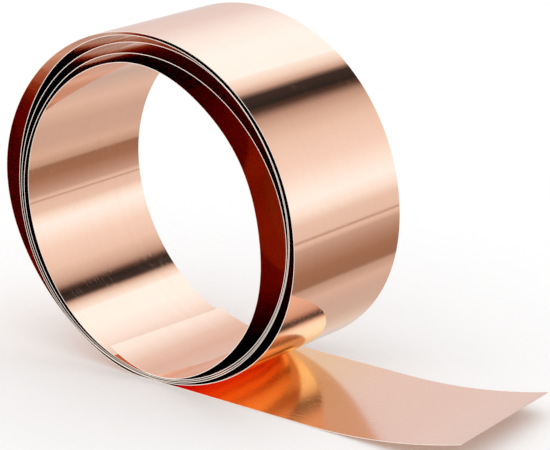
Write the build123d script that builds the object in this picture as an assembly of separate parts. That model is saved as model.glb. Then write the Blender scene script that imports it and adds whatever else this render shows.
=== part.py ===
from build123d import *
import math
import os

# A loose coil of thin copper strip standing on its edge, with its outer end
# lying on the table. Millimetres. +X points along the free tail, +Y goes from
# the front edge of the strip to the back edge, +Z is up, and the origin is on
# the table straight below the middle of the coil.

STRIP_WIDTH = 50.0        # a common roll width
STRIP_THICKNESS = 0.2     # 0.2 mm copper: stiff enough to stand as a coil
COIL_HEIGHT = 52.7        # the middle of the coil above the table

# Distance of the strip's mid-thickness from the middle of the coil, at each
# hour of the clock. A turn starts at 6 o'clock and runs on through 7, 8, 9.
TURN_RADII = [
    [52.60, 52.40, 53.90, 56.80, 55.70, 53.30, 51.90, 51.70, 52.20, 53.70, 55.35, 53.90],
    [52.25, 51.95, 52.10, 51.50, 51.30, 51.70, 50.95, 50.55, 50.90, 52.10, 52.45, 52.55],
    [51.90, 51.50, 51.20, 50.55, 49.45, 48.95, 49.30, 50.15, 50.50, 51.55, 51.95, 52.00],
    [51.55, 51.00, 50.40, 49.60, 47.40, 46.40, 45.85, 46.20, 48.20, 50.90, 51.45, 51.40],
    [51.20, 50.10, 48.85, 48.00, 46.40, 44.30, 42.50, 39.90, 39.80, 41.20, 45.70, 49.30],
]
END_RADII = [50.85, 49.70, 48.30]          # the stub that overlaps the fifth turn
END_HOURS = [60.0, 60.33, 60.63]

FOOT_START = -3.0         # x where the flat stretch begins, just left of the middle
FOOT_END = 38.0           # x of the first tail bend
TAIL_FLAT = 20.0          # the tail stays flat this far past the foot
TAIL_LENGTH = 73.5        # from the foot to the outer end's longer, front corner
TAIL_CURL_RADIUS = 190.0  # the outer end lifts off the table on this radius
TAIL_SECTIONS = 5
TAIL_CUT_SKEW = 4.4       # the tail's end is cut this much out of square
INNER_CUT_SKEW = 2.0      # and the inner end this much

LEAF_HOUR = 58.0          # the inner end flexes from 4 o'clock on the fifth turn
LEAF_SECTIONS = 3
BEND_GAP = 0.1            # clear gap at each bend between two moving sections
SAMPLES_PER_HOUR = 2
HOUR = math.radians(30)   # one hour of the clock face


def coil_table():
    """Hours, radii and radius slopes of the coil, from the foot inwards."""
    depth = COIL_HEIGHT - STRIP_THICKNESS / 2
    lean = math.atan2(-FOOT_START, depth)
    hours = [lean / HOUR] + [float(n) for n in range(1, 60)] + END_HOURS
    radii = [radius for turn in TURN_RADII for radius in turn][1:] + END_RADII
    radii = [depth / math.cos(lean)] + radii
    slopes = [depth * math.tan(lean) / math.cos(lean) * HOUR]
    for n in range(1, len(hours) - 1):
        slopes.append((radii[n + 1] - radii[n - 1]) / (hours[n + 1] - hours[n - 1]))
    slopes.append((radii[-1] - radii[-2]) / (hours[-1] - hours[-2]))
    return hours, radii, slopes


def coil_point(hour):
    """Mid-thickness point and direction on the coil at this hour."""
    n = 0
    while n < len(HOURS) - 2 and hour > HOURS[n + 1]:
        n += 1
    width = HOURS[n + 1] - HOURS[n]
    t = (hour - HOURS[n]) / width
    rise = RADII[n + 1] - RADII[n]
    first_slope = SLOPES[n] * width
    last_slope = SLOPES[n + 1] * width
    square = 3 * rise - 2 * first_slope - last_slope
    cube = first_slope + last_slope - 2 * rise
    radius = RADII[n] + t * (first_slope + t * (square + t * cube))
    slope = (first_slope + t * (2 * square + 3 * t * cube)) / width
    angle = math.pi + HOUR * hour
    outward = Vector(math.sin(angle), 0, math.cos(angle))
    onward = Vector(math.cos(angle), 0, -math.sin(angle))
    point = Vector(0, 0, COIL_HEIGHT) + outward * radius
    return point, (outward * slope + onward * (radius * HOUR)).normalized()


def tail_point(distance):
    """Mid-thickness point and direction on the tail, this far past the foot."""
    bent = max(0.0, distance - TAIL_FLAT)
    turn = bent / TAIL_CURL_RADIUS
    x = FOOT_END + min(distance, TAIL_FLAT) + TAIL_CURL_RADIUS * math.sin(turn)
    z = STRIP_THICKNESS / 2 + TAIL_CURL_RADIUS * (1 - math.cos(turn))
    return Vector(x, 0, z), Vector(math.cos(turn), 0, math.sin(turn))


def edge_line(points):
    """A straight line for a flat stretch, or a smooth curve for a bent one."""
    if len(points) == 2:
        return Line(*points)
    return Spline(*points)


def strip(stations, name, skew=0.0):
    """Full-width strip with square edges along a list of (point, direction)."""
    half = STRIP_THICKNESS / 2
    front = Vector(0, -STRIP_WIDTH / 2, 0)
    upper = []
    lower = []
    for point, direction in stations:
        normal = Vector(-direction.Z, 0, direction.X) * half
        upper.append(point + front + normal)
        lower.append(point + front - normal)
    outline = Wire([
        edge_line(lower),
        Line(lower[-1], upper[-1]),
        edge_line(upper[::-1]),
        Line(upper[0], lower[0]),
    ])
    solid = extrude(Face(outline), amount=STRIP_WIDTH, dir=(0, 1, 0))
    if skew:
        solid = skew_cut(solid, *stations[-1], skew)
    solid.label = name
    export_step(solid, f"parts/{name}.step")
    return solid


def skew_cut(solid, point, direction, skew):
    """Cut an end out of square: the front corner stays and the back one goes."""
    front = -STRIP_WIDTH / 2
    back = STRIP_WIDTH / 2 + 1
    past = 1
    short = skew * (back - front) / STRIP_WIDTH
    end_plane = Plane(origin=point, x_dir=direction, z_dir=direction.cross(Vector(0, 1, 0)))
    scrap = Polyline((0, front), (past, front), (past, back), (-short, back), close=True)
    wedge = extrude(end_plane * make_face(scrap), amount=2, both=True)
    return solid - wedge


def coil_stations(start, end):
    """Points along the coil between two hours."""
    count = max(3, round((end - start) * SAMPLES_PER_HOUR)) + 1
    return [coil_point(start + (end - start) * n / (count - 1)) for n in range(count)]


def tail_stations(start, end):
    """Points along the tail; a flat stretch needs only its two ends."""
    count = 2 if end <= TAIL_FLAT else 7
    return [tail_point(start + (end - start) * n / (count - 1)) for n in range(count)]


os.makedirs("parts", exist_ok=True)
HOURS, RADII, SLOPES = coil_table()
gap_hours = BEND_GAP / 2 / COIL_HEIGHT / HOUR
made = []

# The flat foot that the coil stands on.
foot_ends = [Vector(FOOT_START, 0, STRIP_THICKNESS / 2)]
foot_ends.append(Vector(FOOT_END - BEND_GAP / 2, 0, STRIP_THICKNESS / 2))
made.append(strip([(point, Vector(1, 0, 0)) for point in foot_ends], "foot"))

# Five turns, from the outermost in.
turn_names = ["turn_1_outer", "turn_2", "turn_3", "turn_4", "turn_5_inner"]
for number, name in enumerate(turn_names):
    start = max(HOURS[0], 12.0 * number)
    end = min(12.0 * (number + 1), LEAF_HOUR - gap_hours)
    made.append(strip(coil_stations(start, end), name))

# The tail, in short sections that bend upwards one after another.
section = TAIL_LENGTH / TAIL_SECTIONS
for number in range(TAIL_SECTIONS):
    start = section * number + BEND_GAP / 2
    end = section * (number + 1) - BEND_GAP / 2
    skew = 0.0
    if number == TAIL_SECTIONS - 1:
        end = TAIL_LENGTH
        skew = TAIL_CUT_SKEW
    made.append(strip(tail_stations(start, end), f"tail_{number + 1}", skew))

# The free inner end, in sections that bend towards the middle of the coil.
section = (HOURS[-1] - LEAF_HOUR) / LEAF_SECTIONS
for number in range(LEAF_SECTIONS):
    start = LEAF_HOUR + section * number + gap_hours
    end = LEAF_HOUR + section * (number + 1) - gap_hours
    skew = 0.0
    if number == LEAF_SECTIONS - 1:
        end = HOURS[-1]
        skew = INNER_CUT_SKEW
    made.append(strip(coil_stations(start, end), f"inner_end_{number + 1}", skew))
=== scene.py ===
import math

import bpy
import numpy as np
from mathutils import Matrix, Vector


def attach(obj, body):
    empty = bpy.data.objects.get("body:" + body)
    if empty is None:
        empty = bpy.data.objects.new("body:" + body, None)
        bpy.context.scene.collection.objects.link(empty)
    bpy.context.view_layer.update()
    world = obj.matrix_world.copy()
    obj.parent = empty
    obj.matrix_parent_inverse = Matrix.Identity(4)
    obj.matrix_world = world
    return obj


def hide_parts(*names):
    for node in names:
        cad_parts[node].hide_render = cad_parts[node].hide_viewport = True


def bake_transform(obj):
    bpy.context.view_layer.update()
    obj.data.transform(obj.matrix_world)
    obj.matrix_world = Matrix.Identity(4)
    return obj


# A loose coil of bright copper strip standing on its edge. Metres, in the CAD
# frame: +X along the free tail, +Y from the front edge to the back edge, +Z up.

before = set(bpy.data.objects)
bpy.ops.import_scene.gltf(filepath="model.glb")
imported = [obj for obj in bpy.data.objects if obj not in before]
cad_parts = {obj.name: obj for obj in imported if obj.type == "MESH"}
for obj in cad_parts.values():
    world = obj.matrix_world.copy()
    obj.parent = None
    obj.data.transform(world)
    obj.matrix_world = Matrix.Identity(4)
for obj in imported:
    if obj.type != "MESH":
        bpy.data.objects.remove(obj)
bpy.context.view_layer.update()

MM = 0.001
HOUR = math.radians(30)

# ---------------------------------------------------------------- sizes
STRIP_WIDTH = 50.0
STRIP_THICKNESS = 0.2
COIL_HEIGHT = 52.7

# Distance of the strip from the middle of the coil at each hour of the clock,
# in millimetres. Each turn starts at 6 o'clock and runs on through 7, 8, 9.
TURN_RADII = [
    [52.60, 52.40, 53.90, 56.80, 55.70, 53.30, 51.90, 51.70, 52.20, 53.70, 55.35, 53.90],
    [52.25, 51.95, 52.10, 51.50, 51.30, 51.70, 50.95, 50.55, 50.90, 52.10, 52.45, 52.55],
    [51.90, 51.50, 51.20, 50.55, 49.45, 48.95, 49.30, 50.15, 50.50, 51.55, 51.95, 52.00],
    [51.55, 51.00, 50.40, 49.60, 47.40, 46.40, 45.85, 46.20, 48.20, 50.90, 51.45, 51.40],
    [51.20, 50.10, 48.85, 48.00, 46.40, 44.30, 42.50, 39.90, 39.80, 41.20, 45.70, 49.30],
]
END_RADII = [50.85, 49.70, 48.30]
END_HOURS = [60.0, 60.33, 60.63]

FOOT_START = -3.0
FOOT_END = 38.0
TAIL_FLAT = 20.0
TAIL_LENGTH = 73.5
TAIL_CURL_RADIUS = 190.0
TAIL_SECTIONS = 5
TAIL_CUT_SKEW = 4.4
INNER_CUT_SKEW = 2.0
LEAF_HOUR = 58.0
LEAF_SECTIONS = 3

COIL_STEP = 1.0        # spacing of the mesh along the strip where it is rigid
BEND_STEP = 0.5        # and where it bends
ACROSS_STEPS = 16
SKEW_FADE = 7.0        # the mesh near a slanted end is drawn in over this length

# The strip's two faces carry different marks: the outer one's place on the
# strip is written with this much added, in metres.
OUTER_FACE_SHIFT = (3.0, 0.4)

COPPER = (0.95, 0.60, 0.44)
# Painted light: a paler copper for the tail's upper face, for the light it catches.
LIGHT_PAINTED_COPPER = (0.98, 0.70, 0.57)
# Painted reflection: the warm orange that the tail's root and the first turn show where each
# mirrors the other.
REFLECTION_PAINTED_COPPER = (1.00, 0.69, 0.41)
# Painted shade: darker copper for the faces that lie in the narrow gaps between the turns.
SHADE_PAINTED_COPPER = (0.70, 0.34, 0.19)
# Painted highlight: the cut edges get a paler copper than the faces so that they show as
# bright lines.
CUT_EDGE_HIGHLIGHT = (1.00, 0.86, 0.76)


# ---------------------------------------------------------------- shaders
class Signal:
    """A shader socket that takes part in Python arithmetic."""

    def __init__(self, tree, socket):
        self.tree = tree
        self.socket = socket

    def maths(self, operation, first, second=0.0):
        node = self.tree.nodes.new("ShaderNodeMath")
        node.operation = operation
        for slot, value in zip(node.inputs, (first, second)):
            if isinstance(value, Signal):
                self.tree.links.new(value.socket, slot)
            else:
                slot.default_value = value
        return Signal(self.tree, node.outputs[0])

    def __add__(self, other):
        return self.maths("ADD", self, other)

    def __radd__(self, other):
        return self.maths("ADD", other, self)

    def __sub__(self, other):
        return self.maths("SUBTRACT", self, other)

    def __rsub__(self, other):
        return self.maths("SUBTRACT", other, self)

    def __mul__(self, other):
        return self.maths("MULTIPLY", self, other)

    def __rmul__(self, other):
        return self.maths("MULTIPLY", other, self)

    def __truediv__(self, other):
        return self.maths("DIVIDE", self, other)

    def angle_from(self, other):
        return self.maths("ARCTAN2", self, other)

    def largest(self, other):
        return self.maths("MAXIMUM", self, other)

    def below(self, other):
        return self.maths("LESS_THAN", self, other)


class Shader:
    """Adds nodes to one node tree."""

    def __init__(self, tree):
        self.tree = tree
        tree.nodes.clear()

    def add(self, kind, settings=None, values=None, out=0):
        node = self.tree.nodes.new(kind)
        for name, value in (settings or {}).items():
            if name == "stops":
                self.fill_ramp(node.color_ramp, value)
            else:
                setattr(node, name, value)
        for name, value in (values or {}).items():
            if isinstance(value, Signal):
                self.tree.links.new(value.socket, node.inputs[name])
            else:
                node.inputs[name].default_value = value
        return Signal(self.tree, node.outputs[out]) if len(node.outputs) else None

    def fill_ramp(self, ramp, stops):
        for n, (place, colour) in enumerate(stops):
            if n < 2:
                stop = ramp.elements[n]
                stop.position = place
            else:
                stop = ramp.elements.new(place)
            stop.color = (*colour, 1.0)

    def blend(self, first, second, factor):
        """From the first colour to the second as the factor goes from 0 to 1."""
        node = self.tree.nodes.new("ShaderNodeMix")
        node.data_type = "RGBA"
        for slot, value in ((0, factor), (6, first), (7, second)):
            if isinstance(value, Signal):
                self.tree.links.new(value.socket, node.inputs[slot])
            else:
                node.inputs[slot].default_value = (*value, 1.0)
        return Signal(self.tree, node.outputs[2])

    def step(self, value, low, high):
        """0 below low, 1 above high, smooth between."""
        return self.add(
            "ShaderNodeMapRange",
            {"interpolation_type": "SMOOTHSTEP"},
            {"Value": value, "From Min": low, "From Max": high},
        )


def copper_material(name, edge=False):
    material = bpy.data.materials.new(name)
    material.use_nodes = True
    shader = Shader(material.node_tree)
    place = shader.add("ShaderNodeUVMap", {"uv_map": "strip"})

    def stretched(along, across, detail, turn=0.0):
        """Noise on the strip's own length and width, in features per metre."""
        laid = shader.add(
            "ShaderNodeMapping",
            {"vector_type": "TEXTURE"},
            {
                "Vector": place,
                "Rotation": (0.0, 0.0, math.radians(turn)),
                "Scale": (1 / along, 1 / across, 1.0),
            },
        )
        return shader.add(
            "ShaderNodeTexNoise",
            {"noise_dimensions": "2D"},
            {"Vector": laid, "Scale": 1.0, "Detail": detail, "Roughness": 0.6},
        )

    grain = stretched(8.0, 2600.0, 3.0)
    bands = stretched(5.0, 420.0, 2.0)
    smudges = stretched(45.0, 60.0, 3.0)
    scuffs = stretched(150.0, 3400.0, 2.0, 3.0)
    ticks = stretched(220.0, 4200.0, 2.0, -5.0)
    patches = stretched(70.0, 80.0, 1.0)
    marks = shader.step(scuffs, 0.66, 0.74) * shader.step(patches, 0.5, 0.62)
    marks = marks + shader.step(ticks, 0.63, 0.71) * shader.step(patches, 0.40, 0.55)
    tone = shader.step(bands * 0.6 + smudges * 0.4, 0.3, 0.7)
    colour = shader.blend((0.936, 0.585, 0.425), COPPER, tone)
    # Painted light and shade by place: painted shade where faces lie against
    # each other, a paler painted tint on the tail for the light it catches, and
    # a warm painted reflection on the tail's root and the turn that faces it.
    run = shader.add("ShaderNodeSeparateXYZ", {}, {"Vector": place})
    outer_start = OUTER_FACE_SHIFT[0]

    def from_run(start, end):
        return shader.step(run, start, end)

    def from_hour(start, end, shift=0.0):
        return from_run(shift + run_at_hour(start) * MM, shift + run_at_hour(end) * MM)

    inner_side = 1.0 - from_run(outer_start - 0.6, outer_start - 0.5)
    outer_side = 1.0 - inner_side
    # Painted shade on the inner faces that lie against the next turn in, and on the outer
    # faces inside the first turn.
    shade_painted_inner = 0.45 * from_hour(0.3, 1.5) + 0.55 * from_hour(5.0, 9.0)
    shade_painted_inner = shade_painted_inner * (1.0 - from_hour(47.2, 48.2))
    shade_painted_outer = from_hour(12.0, 12.8, outer_start)
    # The tail's upper face: rougher, and painted paler for the light it catches.
    pale = inner_side * (1.0 - from_run(0.100, 0.125))
    # Painted reflection on the tail's root, and on the part of the first turn that faces it.
    root = from_run(0.050, 0.085) * pale
    above_root = outer_side * from_hour(9.8, 11.0, outer_start) * (1.0 - shade_painted_outer)
    painted_reflection = root + 0.8 * above_root
    roughness = 0.02 + 0.03 * grain + 0.02 * smudges + 0.16 * marks + 0.09 * pale
    height = grain * 0.25 + bands * 0.5 + marks * -0.35
    bump = shader.add(
        "ShaderNodeBump", {}, {"Strength": 0.35, "Distance": 4e-6, "Height": height}
    )
    # Painted lighter tint on the tail.
    colour = shader.blend(colour, LIGHT_PAINTED_COPPER, pale)
    # Painted reflection, warm, on the tail's root and the turn above it.
    colour = shader.blend(colour, REFLECTION_PAINTED_COPPER, painted_reflection)
    # Painted shade between the turns.
    colour = shader.blend(colour, SHADE_PAINTED_COPPER, inner_side * shade_painted_inner + shade_painted_outer)
    values = {"Base Color": colour, "Metallic": 1.0, "Roughness": roughness, "Normal": bump}
    if edge:
        # Painted highlight: the cut edges take the paler copper.
        values = {"Base Color": (*CUT_EDGE_HIGHLIGHT, 1), "Metallic": 1.0, "Roughness": 0.3}
    surface = shader.add("ShaderNodeBsdfPrincipled", {}, values)
    shader.add("ShaderNodeOutputMaterial", {}, {"Surface": surface})
    return material


# ---------------------------------------------------------------- the strip
def smooth_slopes(places, heights, first_slope):
    """Slopes that make a curve through the points with no kink in its bend."""
    count = len(places)
    gaps = np.diff(places)
    rises = np.diff(heights) / gaps
    rows = np.zeros((count, count))
    wanted = np.zeros(count)
    rows[0, 0] = 1.0
    wanted[0] = first_slope
    for n in range(1, count - 1):
        rows[n, n - 1] = 1 / gaps[n - 1]
        rows[n, n] = 2 / gaps[n - 1] + 2 / gaps[n]
        rows[n, n + 1] = 1 / gaps[n]
        wanted[n] = 3 * (rises[n - 1] / gaps[n - 1] + rises[n] / gaps[n])
    rows[-1, -2] = 1.0
    rows[-1, -1] = 2.0
    wanted[-1] = 3 * rises[-1]
    return np.linalg.solve(rows, wanted)


def coil_radii(wanted_hours):
    """Radius of the strip's middle at each of these hours, in millimetres."""
    depth = COIL_HEIGHT - STRIP_THICKNESS / 2
    lean = math.atan2(-FOOT_START, depth)
    places = np.array([lean / HOUR] + list(range(1, 60)) + END_HOURS)
    radii = [radius for turn in TURN_RADII for radius in turn][1:] + END_RADII
    radii = np.array([depth / math.cos(lean)] + radii)
    slopes = smooth_slopes(places, radii, depth * math.tan(lean) / math.cos(lean) * HOUR)
    n = np.clip(np.searchsorted(places, wanted_hours) - 1, 0, len(places) - 2)
    gap = places[n + 1] - places[n]
    t = (wanted_hours - places[n]) / gap
    rise = radii[n + 1] - radii[n]
    square = 3 * rise - (2 * slopes[n] + slopes[n + 1]) * gap
    cube = (slopes[n] + slopes[n + 1]) * gap - 2 * rise
    return radii[n] + t * (slopes[n] * gap + t * (square + t * cube))


def whole_path():
    """Fine points down the middle of the strip, from the tail's tip inwards.

    Returns the distance from the tip, x, z and the hour at each point; the
    hour is below zero on the tail and the foot.
    """
    past = np.linspace(TAIL_LENGTH, 0.0, 3000)
    turn = np.maximum(0.0, past - TAIL_FLAT) / TAIL_CURL_RADIUS
    tail_x = FOOT_END + np.minimum(past, TAIL_FLAT) + TAIL_CURL_RADIUS * np.sin(turn)
    tail_z = STRIP_THICKNESS / 2 + TAIL_CURL_RADIUS * (1 - np.cos(turn))
    foot_x = np.linspace(FOOT_END, FOOT_START, 1600)[1:]
    foot_z = np.full(len(foot_x), STRIP_THICKNESS / 2)
    lean = math.atan2(-FOOT_START, COIL_HEIGHT - STRIP_THICKNESS / 2)
    hours = np.linspace(lean / HOUR, END_HOURS[-1], 60000)[1:]
    radii = coil_radii(hours)
    angles = math.pi + HOUR * hours
    x = np.concatenate([tail_x, foot_x, radii * np.sin(angles)])
    z = np.concatenate([tail_z, foot_z, COIL_HEIGHT + radii * np.cos(angles)])
    run = np.concatenate([[0.0], np.cumsum(np.hypot(np.diff(x), np.diff(z)))])
    before = np.full(len(x) - len(hours), -1.0)
    return run, x, z, np.concatenate([before, hours])


RUN, PATH_X, PATH_Z, PATH_HOUR = whole_path()


def run_at_tail(past_foot):
    return TAIL_LENGTH - past_foot


def run_at_hour(hour):
    first = np.argmax(PATH_HOUR > 0)
    return float(np.interp(hour, PATH_HOUR[first:], RUN[first:]))


def ripple(run, across):
    """The slight unevenness of rolled strip that has been handled."""
    rng = np.random.default_rng(7)
    height = np.zeros(np.broadcast(run, across).shape)
    for length, width, size in ((31, 90, 5), (17, 60, 2.5), (47, 33, 4), (83, 140, 9)):
        first, second = rng.uniform(0, 2 * math.pi, 2)
        height += size * np.sin(2 * math.pi * run / length + first) * np.cos(
            2 * math.pi * across / width + second
        )
    return height * 0.001


def sideways(run):
    """Turns never stack quite flush: a slow wander of the strip's edge."""
    ease = np.clip((run - 120.0) / 150.0, 0.0, 1.0)
    return ease * (0.10 * np.sin(run / 71.0) + 0.08 * np.sin(run / 173.0 + 1.0))


def slanted(runs, across):
    """Runs at each place across the strip, drawn in where an end is cut askew."""
    share = across[None, :] / STRIP_WIDTH + 0.5
    runs = runs[:, None]
    outer = TAIL_CUT_SKEW * np.clip(1 - runs / SKEW_FADE, 0.0, 1.0)
    inner = INNER_CUT_SKEW * np.clip(1 - (RUN[-1] - runs) / SKEW_FADE, 0.0, 1.0)
    return runs + share * (outer - inner)


def strip_surface(runs):
    """Mid-thickness grid of the strip, its normals, and each point's place on it."""
    across = np.linspace(-STRIP_WIDTH / 2, STRIP_WIDTH / 2, ACROSS_STEPS + 1)
    along_strip = slanted(runs, across)

    def grid(offset):
        at = np.clip(along_strip + offset, 0.0, RUN[-1])
        ahead = np.clip(at + 0.2, 0.0, RUN[-1])
        behind = np.clip(at - 0.2, 0.0, RUN[-1])
        dx = np.interp(ahead, RUN, PATH_X) - np.interp(behind, RUN, PATH_X)
        dz = np.interp(ahead, RUN, PATH_Z) - np.interp(behind, RUN, PATH_Z)
        length = np.hypot(dx, dz)
        inward = np.stack([dz / length, np.zeros_like(dx), -dx / length], axis=2)
        points = np.empty((*at.shape, 3))
        points[..., 0] = np.interp(at, RUN, PATH_X)
        points[..., 1] = across[None, :] + sideways(at)
        points[..., 2] = np.interp(at, RUN, PATH_Z)
        return points + ripple(at, across[None, :])[..., None] * inward

    middle = grid(0.0)
    along = grid(0.3) - grid(-0.3)
    normal = np.cross(np.gradient(middle, axis=1), along)
    normal /= np.linalg.norm(normal, axis=2, keepdims=True)
    places = np.stack([along_strip, np.broadcast_to(across, along_strip.shape)], axis=2)
    return middle, normal, places


def strip_piece(name, runs, materials):
    """A closed length of strip with square edges, between the first and last run."""
    middle, normal, places = strip_surface(runs)
    places = places * MM
    half = STRIP_THICKNESS / 2
    rows, columns = middle.shape[:2]
    upper = middle + normal * half
    lower = middle - normal * half
    points = np.concatenate([upper.reshape(-1, 3), lower.reshape(-1, 3)]) * MM
    under = rows * columns
    faces = []
    shades = []
    marks = []
    edge_slots = []

    def face(corners, ways, uvs, slot):
        faces.append(corners)
        shades.extend(ways)
        marks.extend(uvs)
        edge_slots.append(slot)

    for i in range(rows - 1):
        for j in range(columns - 1):
            square = [(i, j), (i, j + 1), (i + 1, j + 1), (i + 1, j)]
            uvs = [tuple(places[corner]) for corner in square]
            face([a * columns + b for a, b in square], [normal[p] for p in square], uvs, 0)
            back = square[::-1]
            uvs = [tuple(places[corner] + OUTER_FACE_SHIFT) for corner in back]
            face(
                [under + a * columns + b for a, b in back],
                [-normal[p] for p in back],
                uvs,
                0,
            )
        for j, side in ((0, -1.0), (columns - 1, 1.0)):
            a, b = i * columns + j, (i + 1) * columns + j
            corners = [a, b, under + b, under + a]
            if side > 0:
                corners = corners[::-1]
            uvs = [(runs[i] * MM, 0.0)] * 4
            face(corners, [(0.0, side, 0.0)] * 4, uvs, 1)
    for i, sign in ((0, -1.0), (rows - 1, 1.0)):
        way = sign * np.cross(normal[i, 0], middle[i, -1] - middle[i, 0])
        way /= np.linalg.norm(way)
        for j in range(columns - 1):
            a, b = i * columns + j, i * columns + j + 1
            corners = [a, under + a, under + b, b]
            if sign > 0:
                corners = corners[::-1]
            face(corners, [tuple(way)] * 4, [(runs[i] * MM, 0.0)] * 4, 1)
    mesh = bpy.data.meshes.new(name)
    mesh.from_pydata(points.tolist(), [], faces)
    layer = mesh.uv_layers.new(name="strip")
    layer.data.foreach_set("uv", np.array(marks, dtype=np.float32).ravel())
    for material in materials:
        mesh.materials.append(material)
    mesh.polygons.foreach_set("material_index", edge_slots)
    mesh.polygons.foreach_set("use_smooth", [True] * len(faces))
    mesh.normals_split_custom_set([tuple(way) for way in shades])
    mesh.update()
    piece = bpy.data.objects.new(name, mesh)
    bpy.context.scene.collection.objects.link(piece)
    return piece


def stations(start, end, step):
    return np.linspace(start, end, max(2, round(abs(end - start) / step) + 1))


def build_strip():
    materials = [copper_material("copper_face"), copper_material("copper_edge", True)]
    section = TAIL_LENGTH / TAIL_SECTIONS
    middles = [run_at_tail(section * (n + 0.5)) for n in range(TAIL_SECTIONS)]
    tail_root = run_at_tail(-section / 2)

    leaf = (END_HOURS[-1] - LEAF_HOUR) / LEAF_SECTIONS
    leaf_middles = [run_at_hour(LEAF_HOUR + leaf * (n + 0.5)) for n in range(LEAF_SECTIONS)]
    leaf_root = run_at_hour(LEAF_HOUR - leaf / 2)

    coil = strip_piece("coil_strip", stations(tail_root, leaf_root, COIL_STEP), materials)
    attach(coil, "coil")
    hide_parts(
        "foot", "turn_1_outer", "turn_2", "turn_3", "turn_4", "turn_5_inner"
    )

    # The tail: one piece across each bend, and the tip.
    starts = [tail_root] + middles[:-1]
    bodies = ["coil"] + [f"tail_section_{n + 1}" for n in range(TAIL_SECTIONS)]
    for n, (start, end) in enumerate(zip(starts, middles)):
        piece = strip_piece(f"tail_bend_{n + 1}", stations(end, start, BEND_STEP), materials)
        bodies[n + 1]
        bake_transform(piece)
        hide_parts(f"tail_{n + 1}")
    tip = strip_piece("tail_tip", stations(0.0, middles[-1], BEND_STEP), materials)
    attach(tip, bodies[-1])

    # The free inner end, in the same way.
    starts = [leaf_root] + leaf_middles[:-1]
    bodies = ["coil"] + [f"inner_section_{n + 1}" for n in range(LEAF_SECTIONS)]
    for n, (start, end) in enumerate(zip(starts, leaf_middles)):
        piece = strip_piece(f"inner_bend_{n + 1}", stations(start, end, BEND_STEP), materials)
        bodies[n + 1]
        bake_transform(piece)
        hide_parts(f"inner_end_{n + 1}")
    tip = strip_piece("inner_tip", stations(leaf_middles[-1], RUN[-1], BEND_STEP), materials)
    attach(tip, bodies[-1])


# ---------------------------------------------------------------- the studio
# The coil stands in a round light tent whose axis runs along Y. TENT_LIGHT is
# its brightness by the angle round it, in degrees clockwise from straight up:
# a softbox over the top, a narrow dark gap beside it, a bright wall, and a
# brown shelf edge low down on the right. The light fades evenly between the
# stops. Most of the levels are rounded from a fitting script's output.
TENT_RADIUS = 0.150
TENT_CENTRE = (0.030, 0.030)
TENT_LENGTH = 1.6
TENT_PEAK = 2.0

TENT_LIGHT = [
    (0, (1.08, 1.36, 1.55)),
    (5, (0.96, 1.04, 1.08)),
    (8.5, (0.62, 0.55, 0.52)),
    (10.5, (0.06, 0.05, 0.05)),
    (17, (0.03, 0.03, 0.03)),
    (20, (0.12, 0.08, 0.07)),
    (24, (0.54, 0.46, 0.43)),
    (29, (0.72, 0.68, 0.65)),
    (38, (0.90, 0.91, 0.92)),
    (54, (1.00, 1.06, 1.12)),
    (68, (1.08, 1.36, 1.56)),
    (75, (1.10, 1.44, 1.70)),
    (82, (1.04, 1.22, 1.34)),
    (88, (0.88, 0.88, 0.90)),
    (97, (0.84, 0.83, 0.83)),
    (98.5, (0.50, 0.42, 0.38)),
    (100, (0.90, 0.88, 0.87)),
    (104, (0.61, 0.53, 0.50)),
    (112, (0.49, 0.37, 0.32)),
    (122, (0.38, 0.25, 0.18)),
    (133.5, (0.35, 0.23, 0.17)),
    (136, (0.56, 0.48, 0.43)),
    (147, (0.74, 0.68, 0.64)),
    (160, (0.66, 0.61, 0.59)),
    (180, (0.66, 0.60, 0.57)),
    (205, (0.80, 0.74, 0.71)),
    (235, (0.62, 0.58, 0.56)),
    (275, (0.80, 0.74, 0.74)),
    (300, (0.80, 0.73, 0.73)),
    (316, (0.88, 0.89, 0.94)),
    (332, (1.06, 1.30, 1.50)),
    (345, (1.10, 1.50, 1.78)),
]


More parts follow.
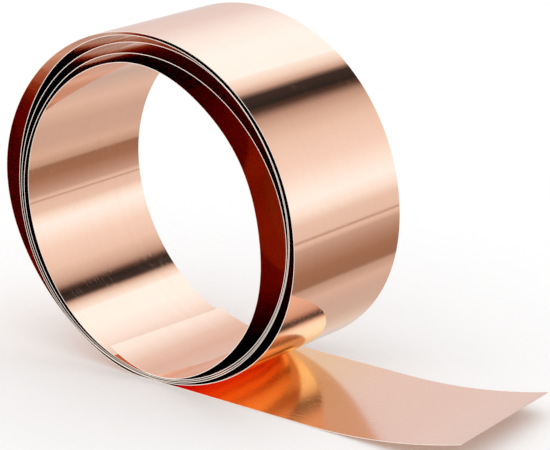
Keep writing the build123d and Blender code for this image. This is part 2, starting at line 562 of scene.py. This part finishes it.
def build_tent():
    material = bpy.data.materials.new("tent_light")
    material.use_nodes = True
    shader = Shader(material.node_tree)
    place = shader.add("ShaderNodeTexCoord", {}, {}, out=3)
    split = shader.add("ShaderNodeSeparateXYZ", {}, {"Vector": place})
    parts = split.socket.node.outputs
    turn = Signal(shader.tree, parts["X"]).angle_from(Signal(shader.tree, parts["Z"]))
    turn = turn / (2 * math.pi)
    turn = turn + turn.below(0.0)
    stops = [
        (angle / 360, tuple(level / TENT_PEAK for level in levels))
        for angle, levels in TENT_LIGHT
    ]
    ramp = shader.add("ShaderNodeValToRGB", {"stops": stops}, {"Fac": turn})
    # In front of the coil the table and the lower walls are plain white.
    front = 1.0 - shader.step(Signal(shader.tree, parts["Y"]), -0.06, -0.03)
    low = 1.0 - shader.step(Signal(shader.tree, parts["Z"]), 0.04, 0.07)
    light = shader.blend(ramp, (1 / TENT_PEAK,) * 3, front * low)
    glow = shader.add("ShaderNodeEmission", {}, {"Color": light, "Strength": TENT_PEAK})
    shader.add("ShaderNodeOutputMaterial", {}, {"Surface": glow})

    count = 96
    points = []
    faces = []
    for n in range(count):
        angle = 2 * math.pi * n / count
        for end in (-TENT_LENGTH / 2, TENT_LENGTH / 2):
            points.append((TENT_RADIUS * math.sin(angle), end, TENT_RADIUS * math.cos(angle)))
        after = (n + 1) % count
        faces.append((2 * n, 2 * after, 2 * after + 1, 2 * n + 1))
    mesh = bpy.data.meshes.new("light_tent")
    mesh.from_pydata(points, [], faces)
    mesh.materials.append(material)
    tent = bpy.data.objects.new("light_tent", mesh)
    bpy.context.scene.collection.objects.link(tent)
    tent.location = (TENT_CENTRE[0], 0.0, TENT_CENTRE[1])
    tent.visible_camera = False
    tent.visible_diffuse = False
    tent.visible_shadow = False
    tent.visible_transmission = False


TABLE_LIGHT = 1.05


def build_world():
    world = bpy.data.worlds.new("studio")
    bpy.context.scene.world = world
    world.use_nodes = True
    shader = Shader(world.node_tree)
    path = shader.add("ShaderNodeLightPath")
    seen = path
    for name in ("Is Glossy Ray", "Is Transmission Ray"):
        seen = seen.largest(Signal(shader.tree, path.socket.node.outputs[name]))
    strength = TABLE_LIGHT - (TABLE_LIGHT - 1.0) * seen
    white = shader.add(
        "ShaderNodeBackground", {}, {"Color": (1, 1, 1, 1), "Strength": strength}
    )
    shader.add("ShaderNodeOutputWorld", {}, {"Surface": white})


def build_floor():
    material = bpy.data.materials.new("table_white")
    material.use_nodes = True
    shader = Shader(material.node_tree)
    surface = shader.add(
        "ShaderNodeBsdfDiffuse", {}, {"Color": (0.97, 0.97, 0.97, 1)}
    )
    shader.add("ShaderNodeOutputMaterial", {}, {"Surface": surface})
    mesh = bpy.data.meshes.new("table")
    reach = 4.0
    corners = [(-reach, -reach, 0), (reach, -reach, 0), (reach, reach, 0), (-reach, reach, 0)]
    mesh.from_pydata(corners, [], [(0, 1, 2, 3)])
    mesh.materials.append(material)
    floor = bpy.data.objects.new("table", mesh)
    bpy.context.scene.collection.objects.link(floor)
    floor.location.z = -0.0001
    floor.visible_glossy = False


def build_camera():
    data = bpy.data.cameras.new("camera")
    data.lens = 160.1
    data.sensor_width = 36.0
    data.clip_start = 0.01
    data.clip_end = 100.0
    camera = bpy.data.objects.new("camera", data)
    bpy.context.scene.collection.objects.link(camera)
    camera.location = (0.4501, -0.5336, 0.2589)
    ahead = Vector((-0.5931, 0.7483, -0.2970))
    camera.rotation_mode = "QUATERNION"
    camera.rotation_quaternion = ahead.to_track_quat("-Z", "Y")
    bpy.context.scene.camera = camera


scene = bpy.context.scene
scene.view_settings.view_transform = "Standard"
# Light in the narrow gaps between the turns goes back and forth many times.
scene.cycles.glossy_bounces = 24
scene.cycles.max_bounces = 32
build_strip()
build_world()
build_tent()
build_floor()
build_camera()
